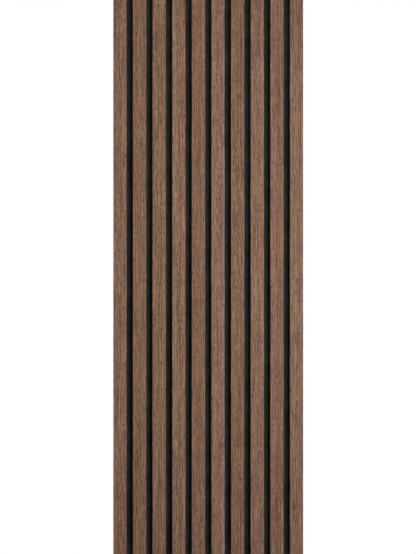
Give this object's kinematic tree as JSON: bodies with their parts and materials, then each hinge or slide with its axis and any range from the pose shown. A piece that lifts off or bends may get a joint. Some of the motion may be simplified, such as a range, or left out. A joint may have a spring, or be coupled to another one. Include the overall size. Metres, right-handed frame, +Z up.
{
  "type": "slat wall panel",
  "caption": "Wall panel of upright walnut-veneered slats with even dark grooves between them, on a black felt sheet.",
  "frame": {"origin": "the middle of the felt's back face, which lies on the wall", "axes": "+X to the right across the slats as seen from the room, +Y into the wall, +Z up along the slats"},
  "size_m": [0.387, 0.021, 1.2],
  "materials": {
    "walnut_veneer": "satin",
    "black_fibreboard": "matte",
    "black_felt": "matte",
    "staple_wire": "satin"
  },
  "bodies": {
    "root": {"felt_backing": "black_felt", "slat_core_01": "black_fibreboard", "slat_core_02": "black_fibreboard", "slat_core_03": "black_fibreboard", "slat_core_04": "black_fibreboard", "slat_core_05": "black_fibreboard", "slat_core_06": "black_fibreboard", "slat_core_07": "black_fibreboard", "slat_core_08": "black_fibreboard", "slat_core_09": "black_fibreboard", "slat_core_10": "black_fibreboard", "slat_veneer_01": "walnut_veneer", "slat_veneer_02": "walnut_veneer", "slat_veneer_03": "walnut_veneer", "slat_veneer_04": "walnut_veneer", "slat_veneer_05": "walnut_veneer", "slat_veneer_06": "walnut_veneer", "slat_veneer_07": "walnut_veneer", "slat_veneer_08": "walnut_veneer", "slat_veneer_09": "walnut_veneer", "slat_veneer_10": "walnut_veneer", "staples": "staple_wire"}
  },
  "joints": []
}
